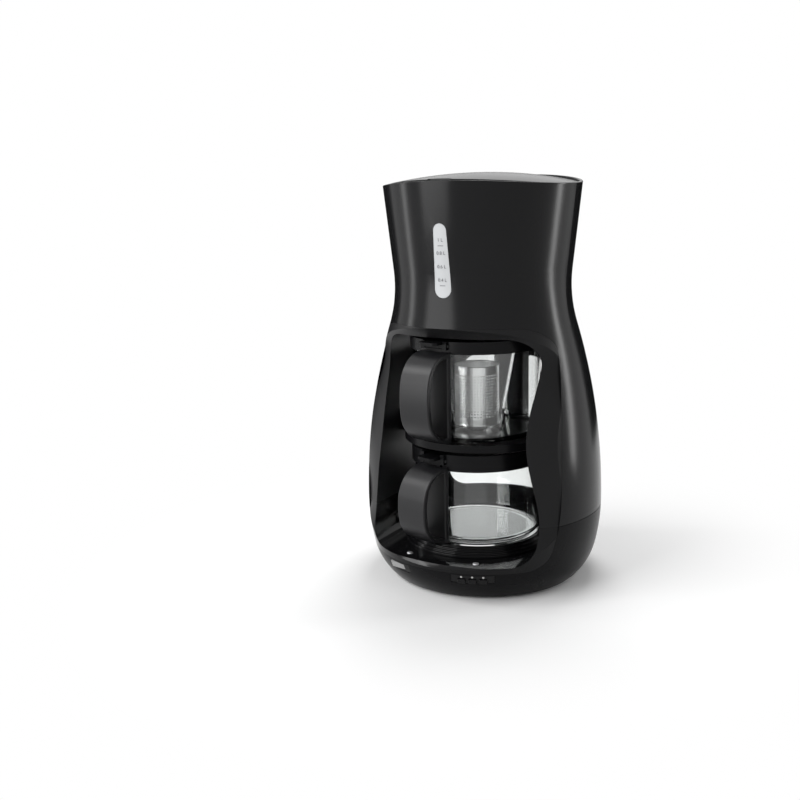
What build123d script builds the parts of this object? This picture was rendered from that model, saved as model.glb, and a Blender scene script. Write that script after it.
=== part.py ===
from build123d import *
from math import asin, atan2, cos, degrees, hypot, pi, radians, sin, sqrt
import os

# An automatic tea maker: a water tank in the neck of an hourglass casing, a tunnel
# through the belly that holds a brewing jug on a shelf above a serving jug on a warming
# plate, and a bowl-shaped base with the heater and the controls.
# Millimetres. The origin is on the floor under the casing's axis, the front faces -Y.

# ---------------------------------------------------------------- driving sizes
# Casing profile, as radii about the vertical axis.
base_z = 2.0
belly_z = 72.0
belly_r = 110.5
bowl_turn_z = 30.0
bowl_side_r = 180.0
bowl_edge_r = 55.0
flank_r = 575.0
waist_bend_r = 125.0
rim_z = 366.0
rim_r = 90.3
neck_taper = 6.2
rim_back_rise = 4.0
rim_arch_r = 650.0
rim_round = 0.9
wall = 3.0
seam_z = 67.5
seam_groove = 0.5
part_gap = 0.15
beyond = 20.0

# The tunnel through the belly: how far its side lies inside the casing's outline at chosen
# heights, from the ceiling down to the floor, and how much its corners are rounded.
tunnel_top_z = 231.5
tunnel_floor_z = 34.6
tunnel_neck_z = 143.0
tunnel_insets = (
    (12.4, tunnel_top_z),
    (21.1, 200.0),
    (34.9, tunnel_neck_z),
    (28.3, 72.0),
    (27.6, tunnel_floor_z),
)
tunnel_bends = (24.0, 18.0)
liner_wall = 2.5

# The window in the back of the casing, in the same way.
back_insets = ((32.8, 192.0), (36.7, 172.0), (38.1, 143.0), (32.4, 82.0), (34.1, 50.0))
back_bends = (24.0, 16.0)

# The outer edge of the front bezel, in the same way.
bezel_top_z = 241.0
bezel_low_z = 28.5
bezel_insets = (
    (6.2, bezel_top_z),
    (5.7, 214.0),
    (8.9, 168.0),
    (12.0, 105.0),
    (15.8, 47.0),
    (19.1, bezel_low_z),
)
bezel_bends = (30.0, 20.0)
bezel_axis_y = 50.0
bezel_proud = 4.0

# Jugs.
jug_y = -14.0
jug_r = 58.5
jug_glass = 2.2
jug_floor = 3.0
jug_foot_r = 52.0
handle_reach = 92.0
handle_width = 32.0
handle_strap = 5.0
handle_bow = 9.0
handle_bend = 30.0
handle_round = 1.2
collar_wall = 2.6
slide_gap = 0.3
jug_travel = 240.0

# What the jugs stand on.
plate_top_z = 43.5
plate_thick = 3.2
plate_r = 58.0
shelf_top_z = 137.2
shelf_thick = 6.7
shelf_r = 71.5
shelf_y = -6.0


# ---------------------------------------------------------------- casing profile
flank_centre = (belly_r - flank_r, belly_z)
side_centre = (belly_r - bowl_side_r, belly_z)
turn_angle = asin((belly_z - bowl_turn_z) / bowl_side_r)
turn_r = side_centre[0] + bowl_side_r * cos(turn_angle)
edge_centre = (
    turn_r - bowl_edge_r * cos(turn_angle),
    bowl_turn_z + bowl_edge_r * sin(turn_angle),
)

# The neck is a straight taper. Its outward normal and upward direction in the profile:
neck_out = (cos(radians(neck_taper)), -sin(radians(neck_taper)))
neck_up = (sin(radians(neck_taper)), cos(radians(neck_taper)))

# The waist arc touches the neck line and the flank arc, with its centre outside.
along_r = rim_r + waist_bend_r * neck_out[0] - flank_centre[0]
along_z = rim_z + waist_bend_r * neck_out[1] - flank_centre[1]
half_b = along_r * neck_up[0] + along_z * neck_up[1]
reach = flank_r + waist_bend_r
step = -half_b + sqrt(half_b**2 - along_r**2 - along_z**2 + reach**2)
waist_centre = (
    flank_centre[0] + along_r + step * neck_up[0],
    flank_centre[1] + along_z + step * neck_up[1],
)
flank_end_angle = atan2(waist_centre[1] - belly_z, waist_centre[0] - flank_centre[0])


def casing_radius(z, inset=0.0):
    """Outside radius of the casing at height z, or of a skin inset below it."""
    flank = flank_r - inset
    flank_end_z = belly_z + flank * sin(flank_end_angle)
    waist = waist_bend_r + inset
    neck_start_z = waist_centre[1] - waist * neck_out[1]
    if z >= neck_start_z:
        start_r = waist_centre[0] - waist * neck_out[0]
        return start_r + (z - neck_start_z) * neck_up[0] / neck_up[1]
    if z >= flank_end_z:
        return waist_centre[0] - sqrt(waist**2 - (z - waist_centre[1]) ** 2)
    if z >= belly_z:
        return flank_centre[0] + sqrt(flank**2 - (z - belly_z) ** 2)
    side = bowl_side_r - inset
    if z >= belly_z - side * sin(turn_angle):
        return side_centre[0] + sqrt(side**2 - (belly_z - z) ** 2)
    edge = bowl_edge_r - inset
    return edge_centre[0] + sqrt(edge**2 - (edge_centre[1] - z) ** 2)


def profile_point(z, inset):
    return (casing_radius(z, inset), 0, z)


def side_marks(insets):
    """Half widths at the chosen heights, from how far each lies inside the casing's outline."""
    return tuple((casing_radius(z) - inset, z) for inset, z in insets)


far = belly_r + beyond
tunnel_side = side_marks(tunnel_insets)
back_side = side_marks(back_insets)
bezel_side = side_marks(bezel_insets)


def casing_solid(inset=0.0):
    """The solid of revolution inside the casing's outer skin, less an inset."""
    top = rim_z + 3 * rim_back_rise
    turn_z = belly_z - (bowl_side_r - inset) * sin(turn_angle)
    flank_end_z = belly_z + (flank_r - inset) * sin(flank_end_angle)
    neck_start_z = waist_centre[1] - (waist_bend_r + inset) * neck_out[1]
    levels = [base_z, turn_z, belly_z, flank_end_z, neck_start_z]
    edges = [Line((0, 0, base_z), profile_point(base_z, inset))]
    for low, high in zip(levels, levels[1:]):
        middle = profile_point((low + high) / 2, inset)
        edges.append(ThreePointArc(profile_point(low, inset), middle, profile_point(high, inset)))
    edges.append(Line(profile_point(neck_start_z, inset), profile_point(top, inset)))
    edges.append(Line(profile_point(top, inset), (0, 0, top)))
    edges.append(Line((0, 0, top), (0, 0, base_z)))
    return revolve(make_face(edges), Axis.Z, 360)


def slab(low, high):
    """A wide block between two heights."""
    return Pos(0, 0, (low + high) / 2) * Box(2 * far, 2 * far, high - low)


def disc(radius, low, high, x=0.0, y=0.0):
    return Pos(x, y, (low + high) / 2) * Cylinder(radius, high - low)


def ring(outer, inner, low, high, x=0.0, y=0.0):
    return disc(outer, low, high, x, y) - disc(inner, low - 1, high + 1, x, y)


def block(x0, x1, y0, y1, z0, z1):
    return Pos((x0 + x1) / 2, (y0 + y1) / 2, (z0 + z1) / 2) * Box(x1 - x0, y1 - y0, z1 - z0)


def upright(edges, y0, y1):
    """Extrude a closed outline drawn in the XZ plane from y0 to y1."""
    return Pos(0, y0, 0) * extrude(make_face(edges), amount=y1 - y0, dir=(0, 1, 0))


def arched_prism(side, bends, y0, y1, grow=0.0):
    """A prism along Y: flat top and bottom, curved sides through the marks, rounded corners."""
    marks = [(x + grow, 0, z) for x, z in side]
    marks[0] = (marks[0][0], 0, side[0][1] + grow)
    marks[-1] = (marks[-1][0], 0, side[-1][1] - grow)
    right = Spline(marks)
    left = mirror(right, about=Plane.YZ)
    edges = [Line(right @ 0, left @ 0), right, left, Line(right @ 1, left @ 1)]
    prism = upright(edges, y0, y1)
    prism = fillet(prism.edges().filter_by(Axis.Y).group_by(Axis.Z)[-1], bends[0] + grow)
    return fillet(prism.edges().filter_by(Axis.Y).group_by(Axis.Z)[0], bends[1] + grow)


front_half = block(-far, far, -far, 0, 0, 2 * rim_z)
front_opening = arched_prism(bezel_side, bezel_bends, -far, 0)
back_opening = arched_prism(back_side, back_bends, 0, far)
tunnel = arched_prism(tunnel_side, tunnel_bends, -far, far)

skin = casing_solid()
inside = casing_solid(wall)
lining = casing_solid(wall + part_gap)

# The rim is arched: high at the front and back, lower at the sides, and it rises to the back.
rim_tilt = degrees(atan2(rim_back_rise, 2 * rim_r))
rim_cut = Rot(90, 0, 0) * Cylinder(rim_arch_r, 4 * far)
rim_cut = Pos(0, 0, rim_z + rim_back_rise / 2 - rim_arch_r) * Rot(rim_tilt, 0, 0) * rim_cut

nodes = {}

# ---------------------------------------------------------------- outer shell and its window
tank_low = 258.0
window_top = (6.1, rim_z - 41.5)
window_low = (7.8, tank_low + 17.0)
window_inset = 0.3


def window_prism(grow):
    """A pill, wider at the bottom, extruded through the front of the neck."""
    top_r = window_top[0] + grow
    low_r = window_low[0] + grow
    top = Pos(0, 0, window_top[1]) * Rot(90, 0, 0) * Cylinder(top_r, 2 * far)
    low = Pos(0, 0, window_low[1]) * Rot(90, 0, 0) * Cylinder(low_r, 2 * far)
    lean = (window_low[0] - window_top[0]) / (window_top[1] - window_low[1])
    out = sqrt(1 - lean**2)
    corners = [
        (top_r * out, 0, window_top[1] + top_r * lean),
        (low_r * out, 0, window_low[1] + low_r * lean),
        (-low_r * out, 0, window_low[1] + low_r * lean),
        (-top_r * out, 0, window_top[1] + top_r * lean),
    ]
    return (top + low + upright(Polyline(corners, close=True), -far, far)) & front_half


shell = (skin - inside) & slab(seam_z, rim_z + 3 * rim_back_rise) & rim_cut
shell = shell - front_opening - back_opening - window_prism(part_gap)
groove_half = seam_groove / 2
seam_ring = (skin - casing_solid(seam_groove)) & slab(seam_z - groove_half, seam_z + groove_half)
shell = shell - seam_ring
rim_edges = shell.edges().filter_by_position(Axis.Z, rim_z - 2 * rim_back_rise, 2 * rim_z)
nodes["casing_shell"] = fillet(rim_edges, rim_round)
nodes["level_window"] = (casing_solid(window_inset) - inside) & window_prism(0)


# ---------------------------------------------------------------- tunnel liner and bezel
def bezel_distance(x, z):
    """How far the casing's skin at (x, z) on its front lies from the bezel's own axis."""
    y = -sqrt(casing_radius(z) ** 2 - x**2)
    return hypot(x, y - bezel_axis_y)


def bezel_barrel(inset=0.0):
    """The barrel whose face is the bezel: it sinks into the skin above and clears it below."""
    marks = [(0.0, bezel_top_z), *bezel_side[1:-2]]
    points = [(bezel_distance(x, z) - inset, 0, z) for x, z in marks]
    marks = [bezel_side[-2], (0.0, bezel_low_z)]
    points += [(bezel_distance(x, z) + bezel_proud - inset, 0, z) for x, z in marks]
    top = bezel_top_z + 8
    low = bezel_low_z - 8
    edges = [
        Line((0, 0, top), (points[0][0], 0, top)),
        Line((points[0][0], 0, top), points[0]),
        Spline(points),
        Line(points[-1], (points[-1][0], 0, low)),
        Line((points[-1][0], 0, low), (0, 0, low)),
        Line((0, 0, low), (0, 0, top)),
    ]
    return Pos(0, bezel_axis_y, 0) * revolve(make_face(edges), Axis.Z, 360)


front_body = skin & bezel_barrel() & front_half
front_core = casing_solid(liner_wall) & bezel_barrel(liner_wall)
bezel_prism = arched_prism(bezel_side, bezel_bends, -far, 0, -part_gap)
bezel = bezel_prism & (front_body - front_core)
tube = arched_prism(tunnel_side, tunnel_bends, -far, far, liner_wall)
back_prism = arched_prism(back_side, back_bends, 0, far, -part_gap)
back_body = (lining - front_half) + (skin & back_prism)
liner = (tube & (front_body + back_body)) + bezel - tunnel

# The liner comes apart into the tray, two side walls and the ceiling.
liner_split = 46.0
tray = (liner & slab(0, seam_z)) - seam_ring
upper_liner = (liner & slab(seam_z, rim_z)) - seam_ring
nodes["right_liner"] = upper_liner & block(liner_split, far, -far, far, 0, rim_z)
nodes["left_liner"] = mirror(nodes["right_liner"], about=Plane.YZ)
ceiling = upper_liner & block(-liner_split, liner_split, -far, far, tunnel_neck_z, rim_z)

# A dish of heating parts hangs through a round hole in the tray.
tray_hole_r = 60.0
plate_ring_r = 72.0
tray = tray - disc(tray_hole_r, 0, tunnel_floor_z + 1, y=jug_y)

# The ceiling has a hole for the shower head over the brewing jug.
spout_r = 6.0
ceiling = ceiling - disc(spout_r + 0.1, tunnel_neck_z, rim_z, y=jug_y)
nodes["ceiling_panel"] = ceiling
nodes["tray"] = tray

# ---------------------------------------------------------------- base bowl and bottom plate
bottom_r = 84.5
bottom_thick = 2.4
flange_inner_r = 76.0
flange_thick = 3.0
flange_z = base_z + bottom_thick + 0.1
screw_count = 4
screw_ring_r = 80.0
screw_r = 1.7
screw_head_r = 3.2
screw_head_h = 1.4
foot_ring_r = 66.0
foot_r = 8.0


def around(count, radius, start=45.0):
    """Evenly spaced points on a circle about the casing's axis."""
    for index in range(count):
        turn = radians(start + index * 360 / count)
        yield radius * cos(turn), radius * sin(turn)


bowl = skin & slab(base_z, seam_z)
bowl = bowl - (inside & slab(flange_z + flange_thick, seam_z + 1))
bowl = bowl - disc(flange_inner_r, 0, flange_z + flange_thick + 1)
bowl = bowl - disc(bottom_r + 0.3, 0, flange_z)
bowl = bowl - front_opening - back_opening - seam_ring

bottom = disc(bottom_r, base_z, base_z + bottom_thick)
for number, (x, y) in enumerate(around(screw_count, screw_ring_r), start=1):
    bottom -= disc(screw_r + 0.1, 0, base_z + 10, x, y)
    bottom -= disc(screw_head_r + 0.1, 0, base_z + screw_head_h, x, y)
    bowl -= disc(screw_r + 0.05, 0, flange_z + flange_thick + 1, x, y)
    screw = disc(screw_head_r, base_z + 0.1, base_z + screw_head_h, x, y)
    screw += disc(screw_r, base_z + screw_head_h, flange_z + flange_thick, x, y)
    nodes[f"bottom_screw_{number}"] = screw
for number, (x, y) in enumerate(around(4, foot_ring_r), start=1):
    foot = chamfer(disc(foot_r, 0, base_z, x, y).edges().group_by(Axis.Z)[0], 0.6)
    nodes[f"rubber_foot_{number}"] = foot
for index in range(-3, 4):
    bottom -= block(-18, 18, index * 9 - 1.5, index * 9 + 1.5, 0, base_z + 10)
nodes["bottom_plate"] = bottom


# ---------------------------------------------------------------- controls in the bowl's wall
control_z = 22.8
control_height = 8.6


def bowl_frame(turn, z=control_z):
    """A frame on the bowl's skin: local X runs right, Y up the skin and Z outwards."""
    radius = casing_radius(z)
    out_r = (radius - edge_centre[0]) / bowl_edge_r
    out_z = (z - edge_centre[1]) / bowl_edge_r
    side = (sin(radians(turn)), -cos(radians(turn)))
    origin = (radius * side[0], radius * side[1], z)
    return Plane(
        origin=origin,
        x_dir=(-side[1], side[0], 0),
        z_dir=(out_r * side[0], out_r * side[1], out_z),
    )


def local_box(width, height, low, high, x=0.0, y=0.0):
    return Pos(x, y, (low + high) / 2) * Box(width, height, high - low)


# The mains switch: a rocker on a pin, in a frame let into the wall.
switch_turn = -23.0
switch_width = 27.0
frame_lip = 1.0
rocker_width = 18.0
rocker_thick = 3.6
rocker_depth = 2.2
rocker_tilt = 6.0
rocker_gap = 0.5
rocker_x = -3.2
switch_depth = 12.0
pin_r = 1.0
pin_gap = 0.05
switch_frame = bowl_frame(switch_turn)
rocker_height = control_height - 2 * frame_lip - 0.4

housing = local_box(switch_width, control_height, -switch_depth, 2)
pocket_width = rocker_width + 2 * rocker_gap
housing -= local_box(pocket_width, rocker_height + 0.4, -8.0, 3, x=rocker_x)
housing -= Pos(rocker_x, 0, -rocker_depth) * Rot(90, 0, 0) * Cylinder(pin_r + 0.02, 30)
rocker = local_box(rocker_width, rocker_height, -rocker_thick / 2, rocker_thick / 2)
rocker = fillet(rocker.edges().filter_by(Axis.Y).group_by(Axis.Z)[-1], 0.8)
rocker -= Rot(90, 0, 0) * Cylinder(pin_r + pin_gap, 30)
rocker = Pos(rocker_x, 0, -rocker_depth) * Rot(0, rocker_tilt, 0) * rocker
pin_length = control_height - 0.4
rocker_pin = Pos(rocker_x, 0, -rocker_depth) * Rot(90, 0, 0) * Cylinder(pin_r, pin_length)
nodes["switch_frame"] = (switch_frame * housing) & casing_solid(0.3)
nodes["rocker_switch"] = switch_frame * rocker
nodes["rocker_pin"] = switch_frame * rocker_pin
switch_hole = local_box(switch_width + 0.3, control_height + 0.3, -20, 5)
bowl -= switch_frame * switch_hole

# Three push buttons, each with its own light above it, in a curved plate.
button_turns = (13.6, 19.0, 24.4)
button_width = 7.0
button_height = 4.6
button_drop = 1.3
button_proud = 1.1
button_back = 5.4
button_gap = 0.25
button_press = 1.2
panel_width = 38.0
panel_thick = 3.0
light_r = 0.9
light_lift = 2.9
panel_frame = bowl_frame(button_turns[1])
board_top = -8.4
board_thick = 1.6

panel_skin = casing_solid(0.4) - casing_solid(0.4 + panel_thick)
panel = panel_skin & (panel_frame * local_box(panel_width, control_height, -20, 5))
board = local_box(panel_width - 2, control_height + 2, board_top - board_thick, board_top)
lights = local_box(26.0, 2.0, board_top + 0.1, board_top + 1.4, y=light_lift)
board = panel_frame * board
lights = panel_frame * lights
for side in (-1, 1):
    post = local_box(2.6, control_height - 0.4, board_top, -2.5, x=side * (panel_width / 2 - 2))
    panel += panel_frame * post
for number, turn in enumerate(button_turns, start=1):
    frame = bowl_frame(turn)
    key = local_box(button_width, button_height, -button_back, button_proud, y=-button_drop)
    key = fillet(key.edges().group_by(Axis.Z)[-1], 0.7)
    nodes[f"button_{number}"] = frame * key
    well = local_box(button_width + 2 * button_gap, button_height + 2 * button_gap, -20, 5)
    panel -= frame * Pos(0, -button_drop, 0) * well
    panel -= frame * Pos(0, light_lift, 0) * Cylinder(light_r + 0.1, 40)
    lights += frame * Pos(0, light_lift, (board_top - 0.2) / 2) * Cylinder(light_r, -board_top + 0.6)
    tact_top = -button_back - button_press - 0.2
    tact = local_box(3.0, 3.0, board_top - 0.6, tact_top, y=-button_drop)
    board += frame * tact
nodes["button_panel"] = panel
nodes["light_guide"] = lights & casing_solid(0.2)
nodes["control_board"] = board - nodes["light_guide"]
bowl -= panel_frame * local_box(panel_width + 0.3, control_height + 0.3, -20, 5)

# A cord inlet in the back, without its cord.
gland_r = 6.5
gland_bore = 3.6
gland_lip = 1.5
gland_frame = bowl_frame(180.0, z=20.5)
gland = Pos(0, 0, -2.5) * Cylinder(gland_r, 11)
gland += Pos(0, 0, -5.6) * Cylinder(gland_r + gland_lip, 4)
gland = gland - Cylinder(gland_bore, 40)
nodes["cord_gland"] = gland_frame * gland
bowl -= gland_frame * Cylinder(gland_r + 0.15, 12)
bowl -= gland_frame * Pos(0, 0, -5.6) * Cylinder(gland_r + gland_lip + 0.15, 4.2)
nodes["base_bowl"] = bowl

# ---------------------------------------------------------------- warming plate and heater
plate_low = plate_top_z - plate_thick
plate = disc(plate_r, plate_low, plate_top_z, y=jug_y)
nodes["warming_plate"] = chamfer(plate.edges().group_by(Axis.Z)[-1], 0.8)

plate_gap = 0.15
ledge_r = plate_r - 4.0
step_run = (plate_ring_r - plate_r - 2.0) / 4
step_rise = (plate_top_z - 1.0 - tunnel_floor_z) / 4
ring_points = [(ledge_r, 0, tunnel_floor_z), (ledge_r, 0, plate_low - 0.1)]
ring_points += [(plate_r + plate_gap, 0, plate_low - 0.1)]
ring_points += [(plate_r + plate_gap, 0, plate_top_z - 0.5)]
step_r = plate_r + 2.0
step_z = plate_top_z - 0.5
while len(ring_points) < 12:
    ring_points += [(step_r, 0, step_z), (step_r, 0, step_z - step_rise)]
    step_r += step_run
    step_z -= step_rise
ring_points[-1] = (ring_points[-1][0], 0, tunnel_floor_z)
step_ring = revolve(make_face(Polyline(ring_points, close=True)), Axis.Z, 360)
floor_space = arched_prism(tunnel_side, tunnel_bends, -far, far, -0.05)
nodes["plate_ring"] = (Pos(0, jug_y, 0) * step_ring) & floor_space

# The heater is a U under the plate: a water tube and a heating rod in a cast block.
block_low = 30.0
block_in = 31.0
block_out = 49.0
heater_back = 22.0
tube_r = 4.0
tube_x = 43.0
rod_r = 3.2
rod_x = 35.5


def u_path(x, z, back):
    """A U in plan: a half circle round the front and two legs towards the back."""
    front = (0, jug_y - x, z)
    return Wire([
        Edge.make_line((-x, jug_y + back, z), (-x, jug_y, z)),
        Edge.make_three_point_arc((-x, jug_y, z), front, (x, jug_y, z)),
        Edge.make_line((x, jug_y, z), (x, jug_y + back, z)),
    ])


def u_rod(radius, x, z, back):
    path = u_path(x, z, back)
    start = Plane(origin=(-x, jug_y + back, z), z_dir=(0, -1, 0))
    return sweep(start * Circle(radius), path=path)


def u_block(inner, outer, low, high, back):
    front = ring(outer, inner, low, high, y=jug_y) & block(-99, 99, -199, jug_y, 0, 99)
    legs = block(-outer, outer, jug_y, jug_y + back, low, high)
    return front + legs - block(-inner, inner, jug_y - 0.1, jug_y + back + 1, low - 1, high + 1)


casting = u_block(block_in, block_out, block_low, plate_low - 0.1, heater_back)
casting -= u_rod(tube_r + 0.1, tube_x, block_low, heater_back + 1)
casting -= u_rod(rod_r + 0.1, rod_x, block_low, heater_back + 1)
nodes["heater_casting"] = casting
water_tube = u_rod(tube_r, tube_x, block_low, heater_back + 3)
water_tube -= u_rod(tube_r - 1, tube_x, block_low, heater_back + 3)
nodes["heater_water_tube"] = water_tube
nodes["heating_rod"] = u_rod(rod_r, rod_x, block_low, heater_back + 6)

# A clamp bar under the tubes holds the heater up to the tray, with the thermostat on it.
bar_top = block_low - tube_r - 0.2
bar_thick = 2.0
bar_half = 66.0
bar_y = (jug_y - 5, jug_y + 5)
post_half = tray_hole_r + 1.0
clamp = block(-bar_half, bar_half, *bar_y, bar_top - bar_thick, bar_top)
for side in (-1, 1):
    low_x, high_x = sorted((side * post_half, side * bar_half))
    clamp += block(low_x, high_x, *bar_y, bar_top, tunnel_floor_z - liner_wall - 0.1)
nodes["heater_clamp"] = clamp
thermostat = disc(10.0, plate_low - 7, plate_low - 0.1, y=jug_y)
thermostat += disc(5.0, bar_top + 0.1, plate_low - 7, y=jug_y)
nodes["thermostat"] = thermostat

# ---------------------------------------------------------------- tank, lid and hinge
tank_gap = 0.4
tank_wall = 2.0
tank_top = rim_z - 7.7
tank_floor = 2.5
outlet_at = (-55.0, 15.0)
hose_r = 4.0
hose_wall = 1.2
hinge_y = rim_r - 15.3
hinge_z = rim_z
hinge_pin_r = 1.5
knuckle_r = 3.0
lug_half = 9.0
arm_width = 6.0
lid_rise = 6.6
lid_peak = rim_z + lid_rise
lid_thick = 2.5
lid_side_bend = 345.0
lid_long_bend = 700.0
lid_height = 100.0
lid_gap = 1.0
lid_back_y = hinge_y - 3.5
skirt_r = rim_r - 9.3
skirt_wall = 2.0
skirt_low = rim_z - 5.5
lid_edge_low = rim_z - 12.0
notch_half = 11.0
notch_depth = 4.0


def dome(inset=0.0):
    """A low dome that follows the arched rim: bent more from side to side than lengthways."""
    wide = sqrt(lid_side_bend * lid_height) - inset
    long = sqrt(lid_long_bend * lid_height) - inset
    tall = lid_height - inset
    centre = lid_peak - lid_height
    return Pos(0, 0, centre) * scale(Sphere(1), by=(wide, long, tall))


tank = casing_solid(wall + tank_gap) & slab(tank_low, tank_top) & dome(lid_thick + 0.4)
tank -= casing_solid(wall + tank_gap + tank_wall) & slab(tank_low + tank_floor, tank_top + 1)
tank += disc(hose_r - hose_wall - 0.1, tank_low - 8, tank_low + 1, *outlet_at)
tank -= disc(1.8, tank_low - 9, tank_low + tank_floor + 1, *outlet_at)
tank_back = casing_radius(tank_top) - wall - tank_gap
lug = block(-lug_half, lug_half, hinge_y - knuckle_r, tank_back - 0.3, tank_top - 12, hinge_z)
lug += Pos(0, hinge_y, hinge_z) * Rot(0, 90, 0) * Cylinder(knuckle_r, 2 * lug_half)
lug = lug & casing_solid(wall + tank_gap)
tank += lug
tank -= Pos(0, hinge_y, hinge_z) * Rot(0, 90, 0) * Cylinder(hinge_pin_r + 0.02, 80)
nodes["water_tank"] = tank

lid_body = casing_solid(wall + lid_gap) & slab(lid_edge_low, lid_peak + 5)
lid = (lid_body & dome()) - dome(lid_thick)
skirt = ring(skirt_r, skirt_r - skirt_wall, skirt_low, lid_peak) & dome(1.0)
clear_half = lug_half + arm_width + 4
skirt -= block(-clear_half, clear_half, hinge_y - 12, far, 0, 2 * rim_z)
lid += skirt
lid -= block(-far, far, lid_back_y, far, 0, 2 * rim_z)
for side in (-1, 1):
    low_x, high_x = sorted((side * (lug_half + 0.5), side * (lug_half + 0.5 + arm_width)))
    arm = block(low_x, high_x, lid_back_y - 10, hinge_y, hinge_z - knuckle_r, lid_peak)
    lid += arm & dome(1.0)
    knuckle = Rot(0, 90, 0) * Cylinder(knuckle_r, arm_width)
    lid += Pos((low_x + high_x) / 2, hinge_y, hinge_z) * knuckle
lid -= Pos(0, hinge_y, hinge_z) * Rot(0, 90, 0) * Cylinder(hinge_pin_r + pin_gap, 80)
notch_y = -(casing_radius(rim_z) - wall - lid_gap) + notch_depth
lid -= block(-notch_half, notch_half, -far, notch_y, lid_peak - 12, 2 * rim_z)
nodes["tank_lid"] = lid
pin_half = lug_half + arm_width
hinge_pin = Rot(0, 90, 0) * Cylinder(hinge_pin_r, 2 * pin_half)
nodes["tank_lid_pin"] = Pos(0, hinge_y, hinge_z) * hinge_pin

# ---------------------------------------------------------------- hoses in the pillars
hose_bend = 9.0
heater_end_y = jug_y + heater_back + 3
hose_low_z = 26.0


def by_the_skin(inset, turn, z):
    """A point at a distance inside the casing's outline, turned from +X towards the back."""
    radius = casing_radius(z) - inset
    return (radius * cos(radians(turn)), radius * sin(radians(turn)), z)


pillar_route = [
    (tube_x, heater_end_y + 4, block_low),
    (tube_x, heater_end_y + 16, hose_low_z),
    (tube_x, 58.0, hose_low_z),
    by_the_skin(10.7, 33.7, hose_low_z),
    by_the_skin(9.8, 21.4, 46.0),
    by_the_skin(11.8, 17.7, 75.0),
    by_the_skin(8.4, 9.4, 206.0),
    by_the_skin(9.2, 11.7, 232.0),
]


def hose_core(points, radius):
    """A round rod along straight runs joined by arcs."""
    path = FilletPolyline(*points, radius=hose_bend)
    start = Plane(origin=path @ 0, z_dir=path % 0)
    return sweep(start * Circle(radius), path=path)


def hose(points):
    return hose_core(points, hose_r) - hose_core(points, hose_r - hose_wall)


hose_start = (tube_x, heater_end_y + 0.1, block_low)
shower_low = 230.3
shower_top = 248.0
riser_z = 242.5
riser_end = spout_r + 0.1
hot_points = [hose_start, *pillar_route]
hot_points += [(60.0, 8.0, riser_z), (riser_end, jug_y + 2, riser_z)]
nodes["hot_riser"] = hose(hot_points)
cold_points = [(-x, y, z) for x, y, z in [hose_start, *pillar_route]]
cold_points += [(outlet_at[0], outlet_at[1], 240.0), (*outlet_at, tank_low - 0.2)]
nodes["cold_hose"] = hose(cold_points)
valve_y = heater_end_y + 30
valve_half = 6.0
valve = Pos(-tube_x, valve_y, hose_low_z) * Rot(90, 0, 0)
valve_sleeve = Cylinder(hose_r + 1.6, 2 * valve_half) - Cylinder(hose_r + 0.05, 99)
nodes["check_valve"] = valve * valve_sleeve

# The shower head hangs through the ceiling.
head = disc(spout_r, shower_low, shower_top, y=jug_y)
head += disc(17.0, shower_low, tunnel_top_z - 0.05, y=jug_y)
head -= disc(spout_r - 1.5, shower_low + 1.0, shower_top - 1.5, y=jug_y)
for x, y in around(6, 3.0, start=0):
    head -= disc(0.6, shower_low - 1, shower_low + 2, x, y + jug_y)
nodes["shower_head"] = head

# ---------------------------------------------------------------- shelf, drain lifter and column
shelf_low = shelf_top_z - shelf_thick
column_half = 16.0
column_front = 62.0
column_back = 84.0
column_wall = 2.0
lifter_y = 74.0
lifter_half = 3.0
lifter_gap = 0.5
lifter_travel = 3.0
lifter_thick = 1.6
lifter_post_r = 2.5
lifter_tip_r = 2.0
drain_hole_r = 8.0
lug_gap = 7.0
lug_depth = 16.0
lug_height = 14.0
lifter_end = 5.0

shelf = disc(shelf_r, shelf_low, shelf_top_z, y=shelf_y)
shelf += block(-column_half, column_half, 0, column_back, shelf_low, shelf_top_z)
for side in (-1, 1):
    low_x, high_x = sorted((side * (jug_r + lug_gap), side * far))
    lug_y = (shelf_y - lug_depth, shelf_y)
    shelf += block(low_x, high_x, *lug_y, shelf_low, shelf_low + lug_height)
shelf = shelf & arched_prism(tunnel_side, tunnel_bends, -far, far, -part_gap)
arm_low = shelf_low + lifter_gap
slot_top = arm_low + lifter_thick + lifter_travel + lifter_gap
slot_half = lifter_half + lifter_gap
slot_y = (jug_y - lifter_end - 2 * lifter_gap, lifter_y + lifter_end + 2 * lifter_gap)
shelf -= block(-slot_half, slot_half, *slot_y, shelf_low - 1, slot_top)
shelf -= disc(drain_hole_r, shelf_low - 1, shelf_top_z + 1, y=jug_y)
shelf -= disc(lifter_post_r + 1, shelf_low - 1, shelf_top_z + 1, y=lifter_y)
nodes["jug_shelf"] = shelf

arm_y = (jug_y - lifter_end, lifter_y + lifter_end)
lifter = block(-lifter_half, lifter_half, *arm_y, arm_low, arm_low + lifter_thick)
lifter += disc(lifter_tip_r, arm_low, shelf_top_z - 0.1, y=jug_y)
lifter += disc(lifter_post_r, arm_low, shelf_top_z + 4, y=lifter_y)
nodes["drain_lifter"] = lifter
coil_half = 9.0
coil_height = 28.0
coil_base = shelf_top_z + 0.1
coil = block(
    -coil_half,
    coil_half,
    lifter_y - coil_half,
    column_back - column_wall - 0.1,
    coil_base,
    coil_base + coil_height,
)
coil -= disc(lifter_post_r + 0.08, 0, coil_base + coil_height - 4, y=lifter_y)
nodes["lifter_solenoid"] = coil
column_top = tunnel_top_z - 0.1
column = block(-column_half, column_half, column_front, column_back, coil_base, column_top)
column = fillet(column.edges().filter_by(Axis.Z).group_by(Axis.Y)[0], 3.0)
core_half = column_half - column_wall
core_y = (column_front + column_wall, column_back - column_wall)
column -= block(-core_half, core_half, *core_y, 0, column_top - column_wall)
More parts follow.
